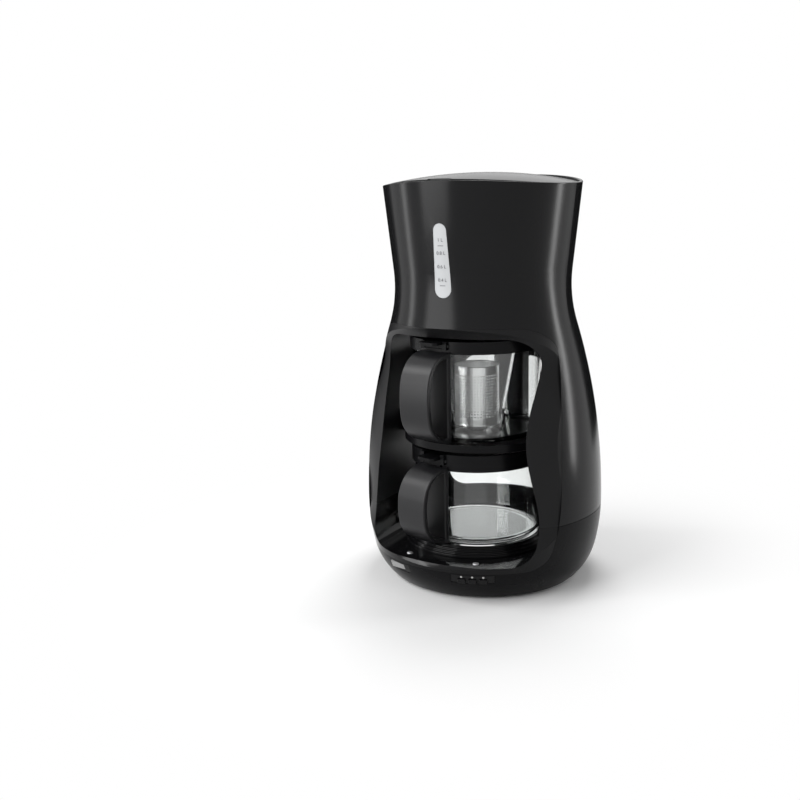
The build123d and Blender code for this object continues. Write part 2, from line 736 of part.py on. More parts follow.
nodes["valve_column"] = column & lining

# ---------------------------------------------------------------- jugs
glass_gap = 0.15
collar_in = jug_r + glass_gap
collar_out = collar_in + collar_wall
lid_r = jug_r - 0.4
lid_plate = 2.5
lid_pin_r = 1.2
lid_pin_y = -(jug_r + 2.0)
lever_half = 9.5
ear_half = lever_half + 4.5
lever_reach = 15.0
tab_half = 8.0
tab_drop = 12.0
jug_screw_r = 1.5
handle_drop = 5.2


def side_profile(reach_in, reach_out, low, high, bend):
    """A D in the YZ plane: its outer side bows out between two rounded corners."""
    shoulder = handle_bow - reach_out
    bow = ThreePointArc((0, shoulder, low), (0, -reach_out, (low + high) / 2), (0, shoulder, high))
    edges = [
        Line((0, -reach_in, low), (0, shoulder, low)),
        bow,
        Line((0, shoulder, high), (0, -reach_in, high)),
        Line((0, -reach_in, high), (0, -reach_in, low)),
    ]
    return fillet(make_face(edges).vertices().group_by(Axis.Y)[0], bend)


def jug_parts(
    name, base, turn, glass_height, collar_drop, collar_height, lid_seat, pin_lift, handle_low, lid_bore
):
    """A glass jug with a collar, a handle screwed to it and a lid hinged over the handle."""
    place = Pos(0, jug_y, base) * Rot(0, 0, -turn)
    glass = disc(jug_r, 0, glass_height)
    glass = fillet(glass.edges().group_by(Axis.Z)[0], jug_r - jug_foot_r)
    hollow = disc(jug_r - jug_glass, jug_floor, glass_height + 1)
    hollow = fillet(hollow.edges().group_by(Axis.Z)[0], jug_r - jug_foot_r - jug_glass)
    glass -= hollow

    collar_low = glass_height - collar_drop
    collar_top = collar_low + collar_height
    lid_low = glass_height + lid_seat
    pin_z = lid_low + pin_lift
    notch_low = lid_low - 0.4
    handle_high = pin_z - handle_drop
    ear_y = (lid_pin_y - 2.6, -jug_r + 2)
    collar = ring(collar_out, collar_in, collar_low, collar_top)
    ears = block(-ear_half, ear_half, *ear_y, pin_z - 3.2, collar_top)
    collar += ears - disc(collar_in, 0, 2 * glass_height)
    tab = block(-tab_half, tab_half, -far, 0, collar_low - tab_drop, collar_low)
    tab = tab & ring(collar_out, collar_in, 0, 2 * glass_height)
    collar += tab
    lever_slot = lever_half + 0.3
    collar -= block(-lever_slot, lever_slot, -far, 0, notch_low, 2 * glass_height)

    handle = side_profile(jug_r, handle_reach, handle_low, handle_high, handle_bend)
    grip = side_profile(
        jug_r + 5.5,
        handle_reach - handle_strap,
        handle_low + handle_strap,
        handle_high - handle_strap,
        handle_bend - handle_strap - 6.0,
    )
    handle = extrude(handle - grip, amount=handle_width / 2, dir=(1, 0, 0), both=True)
    handle = fillet(handle.faces().filter_by(Axis.X).edges(), handle_round)
    handle -= disc(collar_in, 0, 2 * glass_height)
    handle -= disc(collar_out + glass_gap, collar_low - 0.1, 2 * glass_height)
    tab_space = block(
        -tab_half - 0.2, tab_half + 0.2, -far, 0, collar_low - tab_drop - 0.2, collar_low
    )
    handle -= tab_space & disc(collar_out + glass_gap, 0, 2 * glass_height)
    space_low = min(pin_z - 3.4, lid_low - 0.5)
    ear_space = block(
        -ear_half - 0.2, ear_half + 0.2, ear_y[0] - 0.2, ear_y[1], space_low, 2 * glass_height
    )
    handle -= ear_space

    screw_z = collar_low - tab_drop / 2
    screw_y = -(jug_r + 5.5)
    turned = Rot(90, 0, 0)
    screw_tip = -(collar_in + 0.3)
    screw = Pos(0, (screw_y + screw_tip) / 2, screw_z) * turned
    screw = screw * Cylinder(jug_screw_r, screw_tip - screw_y + 0.2)
    screw += Pos(0, screw_y - 0.8, screw_z) * turned * Cylinder(2.8, 1.5)
    screw_path = Pos(0, screw_y, screw_z) * turned
    handle -= screw_path * Cylinder(jug_screw_r + 0.05, 20)
    collar -= screw_path * Cylinder(jug_screw_r + 0.02, 20)

    lid = disc(lid_r, lid_low, lid_low + lid_plate) - disc(lid_bore, 0, 2 * glass_height)
    arm = block(-lever_half, lever_half, lid_pin_y - 2.2, -jug_r + 6, lid_low, pin_z + 1.6)
    lever = block(
        -lever_half,
        lever_half,
        lid_pin_y - lever_reach + 2,
        lid_pin_y + 4,
        pin_z + 1.4,
        pin_z + 3.8,
    )
    lid += arm + fillet(lever.edges().filter_by(Axis.Z).group_by(Axis.Y)[0], 4.0)
    pin = Pos(0, lid_pin_y, pin_z) * Rot(0, 90, 0)
    lid -= pin * Cylinder(lid_pin_r + pin_gap, 60)
    collar -= pin * Cylinder(lid_pin_r + 0.02, 60)
    nodes[f"{name}_glass"] = place * glass
    nodes[f"{name}_collar"] = place * collar
    nodes[f"{name}_handle"] = place * handle
    nodes[f"{name}_handle_screw"] = place * screw
    nodes[f"{name}_lid"] = place * lid
    nodes[f"{name}_lid_pin"] = place * pin * Cylinder(lid_pin_r, 2 * ear_half)
    return place


serving_base = plate_top_z + slide_gap
brew_base = shelf_top_z + slide_gap
serving_height = 71.8
serving_turn = 15.0
serving_collar_drop = 3.6
serving_collar_height = 15.0
serving_lid_seat = 0.3
serving_pin_lift = 5.0
serving_handle_low = 0.8
serving_lid_bore = 8.0
jug_parts(
    "serving",
    serving_base,
    serving_turn,
    serving_height,
    serving_collar_drop,
    serving_collar_height,
    serving_lid_seat,
    serving_pin_lift,
    serving_handle_low,
    serving_lid_bore,
)
brew_height = 83.5
brew_turn = 11.5
brew_collar_drop = 3.5
brew_collar_height = 11.0
brew_lid_seat = 1.8
brew_pin_lift = 1.8
brew_handle_low = 1.0
brew_lid_bore = 9.0
brew_place = jug_parts(
    "brew",
    brew_base,
    brew_turn,
    brew_height,
    brew_collar_drop,
    brew_collar_height,
    brew_lid_seat,
    brew_pin_lift,
    brew_handle_low,
    brew_lid_bore,
)

# The brewing jug's floor has a drain: a seat in the glass and a plunger that closes it.
seat_r = 7.0
seat_bore = 4.0
seat_flange = 1.5
plunger_r = 6.0
plunger_head = 2.0
stem_r = 2.5
brew_glass = nodes["brew_glass"] - brew_place * disc(seat_r + 0.05, -1, jug_floor + 1)
nodes["brew_glass"] = brew_glass
flange_low = jug_floor + 0.05
seat = disc(seat_r, 0.2, flange_low + 0.1) + disc(seat_r + 3, flange_low, flange_low + seat_flange)
seat -= disc(seat_bore, -1, 20)
nodes["drain_seat"] = brew_place * seat
head_low = flange_low + seat_flange + 0.1
plunger = disc(plunger_r, head_low, head_low + plunger_head) + disc(stem_r, 0.1, head_low + 0.1)
nodes["drain_plunger"] = brew_place * plunger

# A clear funnel hangs from the rim, with the tea sieve standing in it.
funnel_wall = 2.0
funnel_low = 6.0
funnel_low_r = 23.3
funnel_top_r = 37.2
funnel_flange = 1.4
sieve_r = 20.5
sieve_wall = 0.8
sieve_low = 7.0
sieve_high = 62.5
sieve_floor = 12.0
sieve_band = 7.0
sieve_slots = 36
flange_base = brew_height + 0.1


def cone(grow, low, high):
    """A solid cone along the funnel's wall, between two heights in the jug."""
    slope = (funnel_top_r - funnel_low_r) / (flange_base - funnel_low)
    low_r = funnel_low_r + grow + slope * (low - funnel_low)
    high_r = funnel_low_r + grow + slope * (high - funnel_low)
    return Pos(0, 0, (low + high) / 2) * Cone(low_r, high_r, high - low)


funnel = cone(0, funnel_low, flange_base + 0.1)
funnel += disc(jug_r - 0.4, flange_base, flange_base + funnel_flange)
funnel -= cone(-funnel_wall, funnel_low - 2, flange_base + 4)
nodes["infuser_funnel"] = brew_place * funnel

sieve = ring(sieve_r, sieve_r - sieve_wall, sieve_low, sieve_high)
sieve += disc(sieve_r, sieve_floor, sieve_floor + 1)
sieve += ring(21.2, sieve_r - sieve_wall, sieve_low + 1, sieve_low + 2.2)
slot_low = sieve_floor + sieve_band
slot_high = sieve_high - sieve_band
slots = [
    Rot(0, 0, index * 360 / sieve_slots) * block(sieve_r - 2, sieve_r + 2, -0.8, 0.8, slot_low, slot_high)
    for index in range(sieve_slots)
]
sieve -= slots
nodes["infuser_sieve"] = brew_place * sieve

os.makedirs("parts", exist_ok=True)
for name, solid in nodes.items():
    export_step(solid, f"parts/{name}.step")
    print(name, len(solid.solids()), round(solid.volume / 1000, 2))
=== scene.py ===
# %% [markdown]
# # An automatic tea maker
# The machine stands about 37 cm tall. A water tank fills its neck, a tunnel runs through its
# belly, and in the tunnel a brewing jug stands on a shelf above a serving jug on a warming
# plate. The engineering model gives every solid, so this lesson is about finishes, light and
# the few pieces that are finer than an engineering model needs: the pierced metal of the tea
# sieve, the printed scale on the level window, two rivets in the tray, and the rounded ribs of
# the ring round the plate.

# %% Load the frame
import math

import bmesh
import bpy
from mathutils import Matrix, Vector


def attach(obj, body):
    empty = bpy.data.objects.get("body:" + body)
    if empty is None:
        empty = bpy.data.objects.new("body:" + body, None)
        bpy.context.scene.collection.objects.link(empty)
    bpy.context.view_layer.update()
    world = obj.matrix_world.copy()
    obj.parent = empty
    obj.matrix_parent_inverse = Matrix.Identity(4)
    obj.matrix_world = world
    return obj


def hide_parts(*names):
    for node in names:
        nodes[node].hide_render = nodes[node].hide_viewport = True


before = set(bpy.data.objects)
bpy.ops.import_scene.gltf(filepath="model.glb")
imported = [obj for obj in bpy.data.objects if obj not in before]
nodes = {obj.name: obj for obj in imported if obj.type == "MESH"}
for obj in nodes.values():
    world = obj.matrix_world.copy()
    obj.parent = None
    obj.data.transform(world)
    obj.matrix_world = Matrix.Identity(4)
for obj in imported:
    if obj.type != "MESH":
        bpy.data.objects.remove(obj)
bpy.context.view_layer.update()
scene = bpy.context.scene

# %% [markdown]
# ## Camera
# A product picture is taken from a little above, with a longish lens, so that the tall shape
# keeps its proportions. The camera stands 25 degrees round to the right of the front and
# looks slightly past the machine, which leaves room on the left.

# %% Place the camera
CAMERA_ROUND = math.radians(25.0)
CAMERA_DISTANCE = 0.972
CAMERA_HEIGHT = 0.365
CAMERA_DOWN = math.radians(11.7)
CAMERA_PAST = math.radians(4.64)
CAMERA_ROLL = math.radians(-1.3)
SENSOR_WIDTH = 36.0
LENS = 47.25

camera_data = bpy.data.cameras.new("studio_camera")
camera_data.sensor_fit = "HORIZONTAL"
camera_data.sensor_width = SENSOR_WIDTH
camera_data.lens = LENS
camera = bpy.data.objects.new("studio_camera", camera_data)
scene.collection.objects.link(camera)
tripod = Vector((math.sin(CAMERA_ROUND), -math.cos(CAMERA_ROUND), 0)) * CAMERA_DISTANCE
tripod.z = CAMERA_HEIGHT
heading = Matrix.Rotation(CAMERA_ROUND + CAMERA_PAST, 4, "Z")
pitch = Matrix.Rotation(math.radians(90) - CAMERA_DOWN, 4, "X")
roll = Matrix.Rotation(CAMERA_ROLL, 4, "Z")
camera.matrix_world = Matrix.Translation(tripod) @ heading @ pitch @ roll
scene.camera = camera
print("camera at", [round(c, 3) for c in tripod])

# %% [markdown]
# ## Lamps
# Black plastic shows its shape only by what it mirrors. Two strip lamps beside the machine
# draw a narrow band along each flank. A large soft lamp in front on the left lights the neck
# and the handles, a small one high on the same side picks out their tops, and one overhead
# lays a soft shadow under the machine. They are area lamps, because a point lamp would leave
# a dot in the plastic.

# %% Hang the lamps
LAMP_AIM = Vector((0, 0, 0.2))


def round_the_machine(round_deg, distance, height):
    """A place counted in degrees from the front to the right."""
    turn = math.radians(round_deg)
    return Vector((math.sin(turn) * distance, -math.cos(turn) * distance, height))


def area_lamp(name, round_deg, distance, height, width, tall, power, lean=0.0):
    """A soft lamp that looks at the middle of the machine and may lean to one side."""
    data = bpy.data.lights.new(name, "AREA")
    data.shape = "RECTANGLE"
    data.size = width
    data.size_y = tall
    data.energy = power
    lamp = bpy.data.objects.new(name, data)
    scene.collection.objects.link(lamp)
    spot = round_the_machine(round_deg, distance, height)
    aim = (LAMP_AIM - spot).to_track_quat("-Z", "Y")
    tilt = Matrix.Rotation(math.radians(lean), 4, "Z")
    lamp.matrix_world = Matrix.Translation(spot) @ aim.to_matrix().to_4x4() @ tilt
    lamp.visible_camera = False


area_lamp("strip_right", 122.0, 0.75, 0.36, width=0.08, tall=1.0, power=3.0, lean=-16.0)
area_lamp("strip_left", -72.0, 0.80, 0.32, width=0.08, tall=0.85, power=1.4)
area_lamp("soft_front", -30.0, 1.15, 0.60, width=0.80, tall=1.2, power=14.0)
area_lamp("soft_high", -58.0, 1.0, 1.05, width=0.35, tall=0.35, power=3.2)
area_lamp("soft_top", 190.0, 0.50, 1.4, width=0.6, tall=0.6, power=9.5)

# %% [markdown]
# ## A dark flag behind the machine
# At its very edges a glossy body mirrors what stands behind it, and a white background would
# draw a bright rim there. Photographers put a black board, a flag, out of the picture to keep
# those edges dark. This one is a curved wall of dark felt behind the machine. Only mirror
# rays can see it, so it takes no light away and never shows in the background.

# %% Stand up the flag
FLAG_FROM = 150.0
FLAG_TURN = 110.0
FLAG_DISTANCE = 0.75
FLAG_HEIGHT = 0.45
FLAG_STEPS = 24


def made(name, shape, material):
    """Turn a finished bmesh into an object with one material."""
    mesh = bpy.data.meshes.new(name)
    shape.to_mesh(mesh)
    shape.free()
    mesh.materials.append(material)
    piece = bpy.data.objects.new(name, mesh)
    scene.collection.objects.link(piece)
    print(name, "has", len(mesh.polygons), "faces")
    return piece


felt = bpy.data.materials.new("studio_felt")
felt.use_nodes = True
cloth = felt.node_tree.nodes["Principled BSDF"].inputs
cloth["Base Color"].default_value = (0.01, 0.01, 0.01, 1)
cloth["Roughness"].default_value = 1.0
cloth["Specular IOR Level"].default_value = 0.0

wall = bmesh.new()
foot = wall.verts.new(round_the_machine(FLAG_FROM, FLAG_DISTANCE, 0.0))
head = wall.verts.new(round_the_machine(FLAG_FROM, FLAG_DISTANCE, FLAG_HEIGHT))
edge = wall.edges.new((foot, head))
bmesh.ops.spin(
    wall, geom=[foot, head, edge], cent=(0, 0, 0), axis=(0, 0, 1),
    angle=math.radians(FLAG_TURN), steps=FLAG_STEPS,
)
flag = made("studio_flag", wall, felt)
flag.visible_camera = False
flag.visible_diffuse = False
flag.visible_transmission = False
flag.visible_shadow = False

# %% [markdown]
# ## White surroundings
# The background has to be plain white without pouring light on the machine. The Light Path
# node tells what kind of ray asks: for the camera, mirrors and glass the world has a strength
# of 1, which is exactly white, and for everything else a softer one.


# %% Light up the world
def seen_directly(web):
    """1 for camera, glossy and transmission rays, and 0 for the rays that only light things."""
    rays = web.nodes.new("ShaderNodeLightPath")
    seen = rays.outputs["Is Camera Ray"]
    for kind in ("Is Glossy Ray", "Is Transmission Ray"):
        either = web.nodes.new("ShaderNodeMath")
        either.operation = "MAXIMUM"
        web.links.new(seen, either.inputs[0])
        web.links.new(rays.outputs[kind], either.inputs[1])
        seen = either.outputs[0]
    return seen


WHITE = (1.0, 1.0, 1.0, 1.0)
ROOM_LIGHT = 0.25
world = bpy.data.worlds.new("studio_world")
scene.world = world
world.use_nodes = True
sky_web = world.node_tree
sky_web.nodes.clear()
strength = sky_web.nodes.new("ShaderNodeMapRange")
strength.inputs["To Min"].default_value = ROOM_LIGHT
strength.inputs["To Max"].default_value = 1.0
sky_web.links.new(seen_directly(sky_web), strength.inputs["Value"])
sky = sky_web.nodes.new("ShaderNodeBackground")
sky.inputs["Color"].default_value = WHITE
sky_web.links.new(strength.outputs[0], sky.inputs["Strength"])
world_out = sky_web.nodes.new("ShaderNodeOutputWorld")
sky_web.links.new(sky.outputs[0], world_out.inputs["Surface"])
scene.view_settings.view_transform = "Standard"
print("the world lights things at", ROOM_LIGHT, "and looks white")

# %% [markdown]
# ## Floor
# Near the machine the floor is a matt white board that takes its shadow. Further out a lamp
# can't reach it evenly, so it would turn grey and show a horizon. A gradient on the floor's
# Object coordinates therefore fades the board into a plain white glow a hand away from it.

# %% Paint the floor
FADE_START = 0.15
FADE_END = 0.40
BOARD_WHITE = (0.93, 0.93, 0.93, 1.0)
floor_paint = bpy.data.materials.new("studio_floor_white")
floor_paint.use_nodes = True
floor_web = floor_paint.node_tree
floor_web.nodes.clear()
spread = floor_web.nodes.new("ShaderNodeTexCoord")
length = floor_web.nodes.new("ShaderNodeVectorMath")
length.operation = "LENGTH"
floor_web.links.new(spread.outputs["Object"], length.inputs[0])
fade = floor_web.nodes.new("ShaderNodeMapRange")
fade.interpolation_type = "SMOOTHSTEP"
fade.inputs["From Min"].default_value = FADE_START
fade.inputs["From Max"].default_value = FADE_END
floor_web.links.new(length.outputs["Value"], fade.inputs["Value"])
only_seen = floor_web.nodes.new("ShaderNodeMath")
only_seen.operation = "MULTIPLY"
floor_web.links.new(fade.outputs[0], only_seen.inputs[0])
floor_web.links.new(seen_directly(floor_web), only_seen.inputs[1])
board = floor_web.nodes.new("ShaderNodeBsdfDiffuse")
board.inputs["Color"].default_value = BOARD_WHITE
glow = floor_web.nodes.new("ShaderNodeEmission")
glow.inputs["Color"].default_value = WHITE
glow.inputs["Strength"].default_value = 1.0
mix = floor_web.nodes.new("ShaderNodeMixShader")
floor_web.links.new(only_seen.outputs[0], mix.inputs[0])
floor_web.links.new(board.outputs[0], mix.inputs[1])
floor_web.links.new(glow.outputs[0], mix.inputs[2])
floor_out = floor_web.nodes.new("ShaderNodeOutputMaterial")
floor_web.links.new(mix.outputs[0], floor_out.inputs["Surface"])
print("floor fades to white between", FADE_START, "and", FADE_END, "m")

# %% Lay the floor
FLOOR_HALF = 8.0
boards = bmesh.new()
bmesh.ops.create_grid(boards, x_segments=1, y_segments=1, size=FLOOR_HALF)
floor = made("studio_floor", boards, floor_paint)

# %% [markdown]
# ## Finishes
# Nearly everything is moulded plastic. A mould leaves a faint, even grain and the gloss
# wanders a little, so each finish is one shader with two noise patterns: a wide one that
# shifts colour and roughness, and a fine one that raises the grain. Both read Object
# coordinates, which are metres here, so a scale of 900 is a grain of about a millimetre.

# %% A helper for every finish
WIDE_SCALE = 18.0
WIDE_DETAIL = 4.0
GRAIN_DETAIL = 3.0
GRAIN_DISTANCE = 0.001


def finish(name, colour, rough, grain=900.0, grain_height=0.02, drift=0.15, **sockets):
    """A procedural finish. drift is how far colour and roughness wander, as a share."""
    material = bpy.data.materials.new(name)
    material.use_nodes = True
    web = material.node_tree
    shader = web.nodes["Principled BSDF"]
    place = web.nodes.new("ShaderNodeTexCoord")
    wide = web.nodes.new("ShaderNodeTexNoise")
    wide.inputs["Scale"].default_value = WIDE_SCALE
    wide.inputs["Detail"].default_value = WIDE_DETAIL
    web.links.new(place.outputs["Object"], wide.inputs["Vector"])
    tint = web.nodes.new("ShaderNodeMix")
    tint.data_type = "RGBA"
    dark = [c * (1 - drift) for c in colour]
    light = [min(1.0, c * (1 + drift)) for c in colour]
    tint.inputs["A"].default_value = (*dark, 1.0)
    tint.inputs["B"].default_value = (*light, 1.0)
    web.links.new(wide.outputs["Fac"], tint.inputs["Factor"])
    web.links.new(tint.outputs["Result"], shader.inputs["Base Color"])
    gloss = web.nodes.new("ShaderNodeMapRange")
    gloss.inputs["To Min"].default_value = rough * (1 - drift)
    gloss.inputs["To Max"].default_value = rough * (1 + drift)
    web.links.new(wide.outputs["Fac"], gloss.inputs["Value"])
    web.links.new(gloss.outputs[0], shader.inputs["Roughness"])
    fine = web.nodes.new("ShaderNodeTexNoise")
    fine.inputs["Scale"].default_value = grain
    fine.inputs["Detail"].default_value = GRAIN_DETAIL
    web.links.new(place.outputs["Object"], fine.inputs["Vector"])
    bump = web.nodes.new("ShaderNodeBump")
    bump.inputs["Strength"].default_value = grain_height
    bump.inputs["Distance"].default_value = GRAIN_DISTANCE
    web.links.new(fine.outputs["Fac"], bump.inputs["Height"])
    web.links.new(bump.outputs["Normal"], shader.inputs["Normal"])
    for socket, value in sockets.items():
        shader.inputs[socket.replace("_", " ")].default_value = value
    return material


# %% [markdown]
# ## Black plastics
# The casing is polished, the bowl and the tunnel's lining are duller, the shelf and the lids
# are satin, the handles have a soft sheen and the tray shines like piano lacquer. One black
# for all of them would melt into a single shape. The colours hardly differ, so roughness and
# specular level tell the pieces apart, as they do on the real machine.

# %% Mix the blacks
casing_black = finish(
    "casing_black", (0.005, 0.005, 0.0055), 0.2, 700, 0.008, Specular_IOR_Level=0.16
)
bowl_black = finish(
    "bowl_black", (0.005, 0.005, 0.0055), 0.26, 700, 0.008, Specular_IOR_Level=0.08
)
panel_black = finish(
    "panel_black", (0.009, 0.009, 0.0095), 0.34, 1100, 0.03, Specular_IOR_Level=0.14
)
satin_black = finish(
    "satin_black", (0.004, 0.004, 0.0045), 0.28, 1100, 0.03, Specular_IOR_Level=0.1
)
handle_black = finish(
    "handle_black", (0.008, 0.008, 0.009), 0.36, 900, 0.02, Specular_IOR_Level=0.3
)
tray_black = finish(
    "tray_black", (0.005, 0.005, 0.0055), 0.1, 900, 0.006, Specular_IOR_Level=0.16
)
soft_rubber = finish("soft_rubber", (0.02, 0.02, 0.02), 0.7, 1500, 0.05)
print("materials so far:", len(bpy.data.materials))

# %% [markdown]
# ## Pale and hidden plastics
# The level window is frosted, its print is dark grey, and the rocker and the little lights are
# pale. The tank, the hoses, the board and the coil show only with the lid open or the machine
# taken apart, but each still has the colour and grain that such a piece has.

# %% Mix the pale and hidden plastics
gauge_frost = finish("gauge_frost", (0.42, 0.43, 0.44), 0.4, 1400, 0.03, 0.08)
gauge_ink = finish("gauge_ink", (0.06, 0.06, 0.065), 0.5, 2000, 0.02)
tank_frost = finish("tank_frost", (0.55, 0.57, 0.58), 0.4, 900, 0.03, 0.08)
rocker_grey = finish("rocker_grey", (0.26, 0.26, 0.26), 0.3, 1200, 0.01, 0.08)
lamp_white = finish("lamp_white", (0.5, 0.5, 0.49), 0.25, 1200, 0.01, 0.05)
pale_silicone = finish("pale_silicone", (0.60, 0.58, 0.54), 0.5, 1200, 0.03, 0.08)
board_green = finish("board_green", (0.03, 0.12, 0.05), 0.4, 2500, 0.05)
coil_brown = finish("coil_brown", (0.20, 0.08, 0.03), 0.45, 1800, 0.08)
print("materials so far:", len(bpy.data.materials))

# %% [markdown]
# ## Metals
# The heater and the tray's rivets are dull cast metal, the pins and screws are bright steel,
# the sieve is brighter still, and the warming plate has a dark non-stick coat. A metal has no
# colour of its own besides its reflection, so metallic is 1 and the base colour says how much
# it mirrors.

# %% Mix the metals
cast_metal = finish("cast_metal", (0.45, 0.45, 0.46), 0.5, 1500, 0.15, Metallic=1.0)
bright_steel = finish("bright_steel", (0.78, 0.78, 0.78), 0.18, 2200, 0.02, 0.08, Metallic=1.0)
sieve_steel = finish("sieve_steel", (0.92, 0.92, 0.92), 0.28, 2200, 0.01, 0.05, Metallic=1.0)
plate_coat = finish("plate_coat", (0.06, 0.06, 0.062), 0.12, 1300, 0.004, Metallic=1.0)
print("materials so far:", len(bpy.data.materials))

# %% [markdown]
# ## Glass and clear plastic
# Both jugs are blown glass, whose wall is never quite even. Here the grain is as wide as a
# fingertip and very low, so what stands behind the glass bends a little. The funnel in the
# brewing jug is thin clear plastic. A lower index of refraction keeps its wall from mirroring
# so much that it would hide the sieve.

# %% Mix the glass and the clear plastic
clear_glass = finish(
    "clear_glass", (0.97, 0.985, 0.98), 0.0, 28, 0.005, 0.01, Transmission_Weight=1.0, IOR=1.47
)
smoky_plastic = finish(
    "smoky_plastic", (0.93, 0.93, 0.93), 0.01, 80, 0.001, 0.02, Transmission_Weight=0.96, IOR=1.25
)
print("materials so far:", len(bpy.data.materials))

# %% [markdown]
# ## Turned rings and a bright rim on the warming plate
# The plate was finished on a lathe, so fine rings run round its middle. A wave texture in
# rings follows them, once a Mapping node has moved its centre to the middle of the plate. It
# only tilts the surface a little, which bends what the plate mirrors into circles. The dark
# coat stops short of the edge, where the steel is left bright.

# %% Turn the plate
PLATE_MIDDLE_Y = -0.014
PLATE_TOP = 0.0435
RING_SCALE = 26.0
RING_STRENGTH = 0.15
RING_DISTANCE = 0.0004
plate_web = plate_coat.node_tree
plate_shader = plate_web.nodes["Principled BSDF"]
plate_place = next(n for n in plate_web.nodes if n.type == "TEX_COORD")
plate_grain = next(n for n in plate_web.nodes if n.type == "BUMP")
centre = plate_web.nodes.new("ShaderNodeMapping")
centre.inputs["Location"].default_value = (0, -PLATE_MIDDLE_Y, -PLATE_TOP)
plate_web.links.new(plate_place.outputs["Object"], centre.inputs["Vector"])
turned = plate_web.nodes.new("ShaderNodeTexWave")
turned.wave_type = "RINGS"
turned.rings_direction = "Z"
turned.inputs["Scale"].default_value = RING_SCALE
turned.inputs["Distortion"].default_value = 0.0
plate_web.links.new(centre.outputs["Vector"], turned.inputs["Vector"])
rings = plate_web.nodes.new("ShaderNodeBump")
rings.inputs["Strength"].default_value = RING_STRENGTH
rings.inputs["Distance"].default_value = RING_DISTANCE
plate_web.links.new(turned.outputs["Fac"], rings.inputs["Height"])
plate_web.links.new(plate_grain.outputs["Normal"], rings.inputs["Normal"])
plate_web.links.new(rings.outputs["Normal"], plate_shader.inputs["Normal"])
print("rings round y =", PLATE_MIDDLE_Y)

# %% Bare the plate's rim
COAT_R = 0.047
COAT_EDGE = 0.0006
BARE_STEEL = (0.86, 0.86, 0.86, 1.0)
away = plate_web.nodes.new("ShaderNodeVectorMath")
away.operation = "LENGTH"
plate_web.links.new(centre.outputs["Vector"], away.inputs[0])
rim = plate_web.nodes.new("ShaderNodeMapRange")
rim.inputs["From Min"].default_value = COAT_R
rim.inputs["From Max"].default_value = COAT_R + COAT_EDGE
plate_web.links.new(away.outputs["Value"], rim.inputs["Value"])
coat = plate_web.nodes.new("ShaderNodeMix")
coat.data_type = "RGBA"
coat.inputs["B"].default_value = BARE_STEEL
plate_web.links.new(rim.outputs[0], coat.inputs["Factor"])
plate_web.links.new(plate_shader.inputs["Base Color"].links[0].from_socket, coat.inputs["A"])
plate_web.links.new(coat.outputs["Result"], plate_shader.inputs["Base Color"])
print("coated out to", COAT_R, "m, bright steel beyond it")

# %% [markdown]
# ## A finish for every node
# The solids come in plain. One table that lists the nodes under their finish is easier to
# check than sixty single lines, and the last line prints any node that it has left out.

# %% Give every node its finish
finishes = {
    casing_black: "casing_shell tank_lid button_1 button_2 button_3",
    bowl_black: "base_bowl",
    panel_black: "right_liner left_liner ceiling_panel valve_column button_panel switch_frame",
    satin_black: """shower_head bottom_plate jug_shelf brew_lid serving_lid brew_collar
        serving_collar drain_plunger""",
    tray_black: "tray plate_ring",
    handle_black: "brew_handle serving_handle",
    soft_rubber: "rubber_foot_1 rubber_foot_2 rubber_foot_3 rubber_foot_4 cord_gland drain_seat",
    gauge_frost: "level_window",
    tank_frost: "water_tank",
    rocker_grey: "rocker_switch",
    lamp_white: "light_guide check_valve",
    pale_silicone: "cold_hose hot_riser",
    board_green: "control_board",
    coil_brown: "lifter_solenoid",
    cast_metal: "heater_casting heater_water_tube",
    bright_steel: """bottom_screw_1 bottom_screw_2 bottom_screw_3 bottom_screw_4 rocker_pin
        heating_rod heater_clamp thermostat tank_lid_pin drain_lifter brew_lid_pin
        serving_lid_pin brew_handle_screw serving_handle_screw infuser_sieve""",
    plate_coat: "warming_plate",
    clear_glass: "brew_glass serving_glass",
    smoky_plastic: "infuser_funnel",
}
for material, names in finishes.items():
    for name in names.split():
        slots = nodes[name].data.materials
        slots.clear()
        slots.append(material)
bare = sorted(set(nodes) - {n for names in finishes.values() for n in names.split()})
print("finishes:", len(finishes), "nodes without one:", bare)

# %% [markdown]
# ## The tea sieve
# The real sieve is a cup of thin steel, whose wall has hundreds of tiny square holes between
# two plain bands. As a Boolean that would be slow, so a strip is spun into a tube of small
# faces instead: the faces of the middle rows are inset one by one, and the small faces left
# inside are deleted. The tube is spun and pierced before anything is added to it, so every
# face between the bands belongs to a row of holes.

# %% Spin and pierce the sieve's wall
SIEVE_TURN = Matrix.Rotation(math.radians(-11.5), 4, "Z")
SIEVE_PLACE = Matrix.Translation((0, -0.014, 0.1375)) @ SIEVE_TURN
SIEVE_R = 0.0205
SIEVE_LOW = 0.007
SIEVE_HIGH = 0.0625
BAND = 0.0075
HOLE_ROWS = 15
HOLES_ROUND = 46
WIRE = 0.00062


def spun(shape, points, steps, closed=False):
    """Spin a line of (radius, height) points round the upright axis and return its faces."""
    known = set(shape.faces)
    marks = [shape.verts.new((radius, 0, height)) for radius, height in points]
    pairs = list(zip(marks, marks[1:]))
    if closed:
        pairs.append((marks[-1], marks[0]))
    line = [shape.edges.new(pair) for pair in pairs]
    bmesh.ops.spin(
        shape, geom=marks + line, cent=(0, 0, 0), axis=(0, 0, 1),
        angle=math.radians(360), steps=steps, use_merge=True,
    )
    return [f for f in shape.faces if f not in known]


